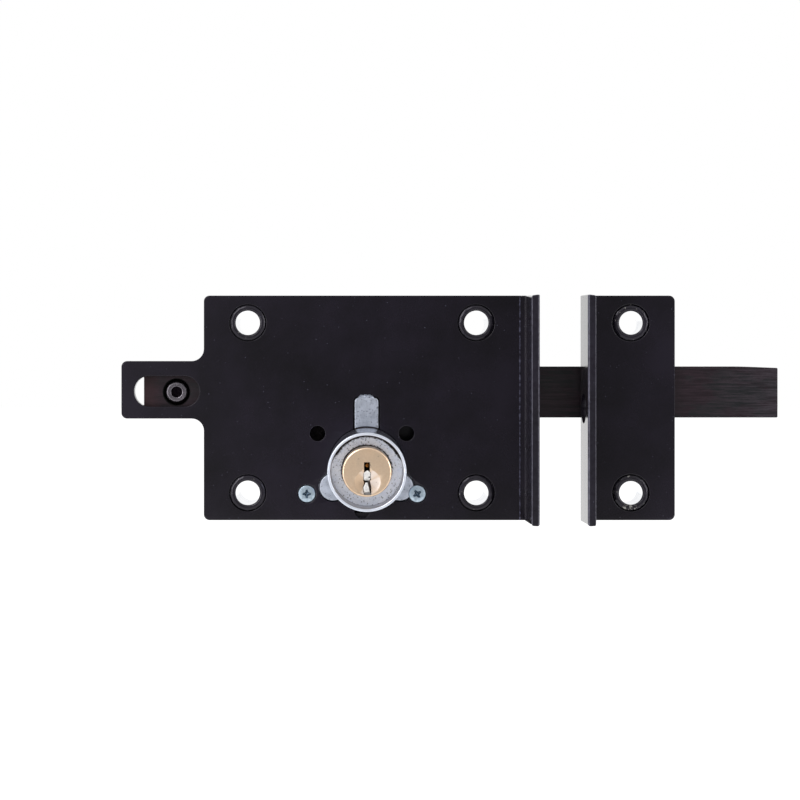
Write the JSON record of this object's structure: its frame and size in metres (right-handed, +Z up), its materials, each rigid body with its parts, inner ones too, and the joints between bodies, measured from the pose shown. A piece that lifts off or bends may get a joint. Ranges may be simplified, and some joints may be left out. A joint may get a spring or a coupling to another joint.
{
  "type": "rim lock with sliding bar and keep",
  "caption": "Surface-mounted rim lock: a keyed cylinder drives a long flat bar through a folded keep across the door gap; a knob slides it from inside.",
  "frame": {"origin": "centre of the four fixing holes of the lock, on the plate's door-side face", "axes": "+X along the bar towards the keep, +Y away from the door into the room, +Z up"},
  "size_m": [0.2054, 0.0585, 0.07],
  "materials": {
    "black_paint": "satin",
    "black_steel": "satin, drawn",
    "die_cast_zinc": "as cast",
    "bright_nickel": "satin nickel",
    "brass": "turned",
    "zinc_plate": "bright zinc",
    "bronze": "sintered",
    "plain_steel": "machined, oiled"
  },
  "bodies": {
    "root": {"back_plate": "black_paint", "case_cover": "black_paint", "mounting_pillars": "black_paint", "cylinder_body": "die_cast_zinc", "cylinder_ring": "bright_nickel", "driver_pins": "brass", "pin_springs": "plain_steel", "cylinder_screws": "zinc_plate", "gear_bush": "bronze", "idler_pin": "plain_steel", "idler_clip": "plain_steel", "tail_guide": "black_paint", "nose_guide": "black_paint", "friction_spring": "plain_steel", "spring_posts": "plain_steel", "keep_plate": "black_paint", "keep_cover": "black_paint", "keep_pillars": "black_paint"},
    "bar": {"lock_bar": "black_steel", "knob_screw": "black_steel", "knob_washer": "plain_steel", "pull_knob": "black_steel"},
    "idler": {"idler_gear": "plain_steel"},
    "drive": {"drive_gear": "plain_steel", "clutch_spring": "plain_steel"},
    "plug": {"plug": "brass", "key_pins": "brass", "plug_clip": "plain_steel"},
    "clutch": {"clutch_dog": "plain_steel"}
  },
  "joints": [
    {"name": "bar_slide", "type": "slide", "parent": "root", "child": "bar", "axis": [-1, 0, 0], "range_m": [0, 0.0785]},
    {"name": "idler_turn", "type": "hinge", "parent": "root", "child": "idler", "pos_m": [-0.02037, 0.007, -0.01202], "axis": [0, 1, 0], "range_deg": [-450, 0]},
    {"name": "drive_turn", "type": "hinge", "parent": "root", "child": "drive", "pos_m": [0.0014, 0.007, -0.0177], "axis": [0, 1, 0], "range_deg": [0, 360]},
    {"name": "plug_turn", "type": "hinge", "parent": "root", "child": "plug", "pos_m": [0.0014, -0.01, -0.0177], "axis": [0, 1, 0], "range_deg": [0, 360]},
    {"name": "clutch_slide", "type": "slide", "parent": "plug", "child": "clutch", "axis": [0, 1, 0], "range_m": [0, 0.0015], "stiffness_N_per_m": 400, "deforming": ["clutch_spring"]}
  ],
  "couplings": [
    {"joint": "idler_turn", "follows": "bar_slide", "rad_per_m": -100},
    {"joint": "drive_turn", "follows": "bar_slide", "rad_per_m": 80},
    {"joint": "plug_turn", "follows": "bar_slide", "rad_per_m": 80}
  ]
}
